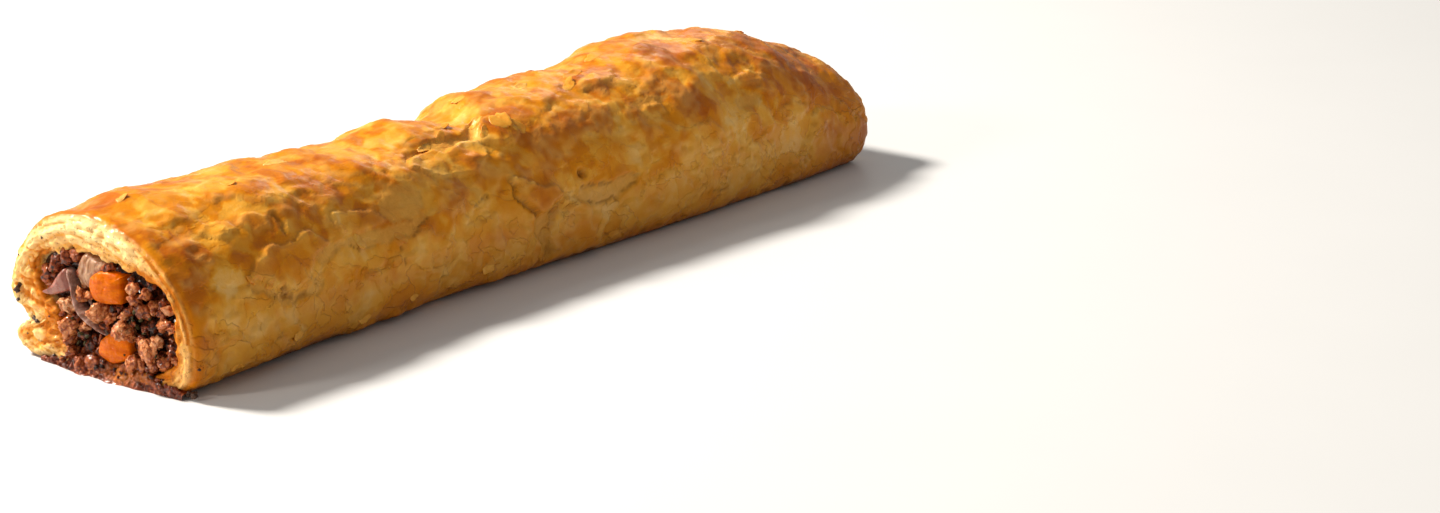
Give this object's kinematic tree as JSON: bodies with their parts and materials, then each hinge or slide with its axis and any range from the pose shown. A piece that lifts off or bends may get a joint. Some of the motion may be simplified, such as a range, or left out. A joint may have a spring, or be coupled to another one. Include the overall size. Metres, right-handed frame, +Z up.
{
  "type": "sausage roll",
  "caption": "Baked sausage roll, cut at both ends: a glazed puff pastry tube with a flat base round a minced filling, with carrot and onion in the cuts.",
  "frame": {"origin": "centre of the bounding box's base, on the flat underside", "axes": "+Y along the roll, from the cut that is seen to the hidden cut; +X to the right seen from that cut; +Z up"},
  "size_m": [0.0508, 0.2165, 0.0358],
  "materials": {
    "pastry": "baked puff pastry with an egg-wash gloss",
    "filling": "cooked mince, moist",
    "carrot": "cooked carrot, moist",
    "onion": "cooked onion, translucent"
  },
  "bodies": {
    "root": {"pastry": "pastry", "filling": "filling", "carrot_upper": "carrot", "carrot_lower": "carrot", "carrot_far": "carrot", "onion_petal": "onion", "onion_dice": "onion", "onion_strip": "onion", "onion_far": "onion"}
  },
  "joints": []
}
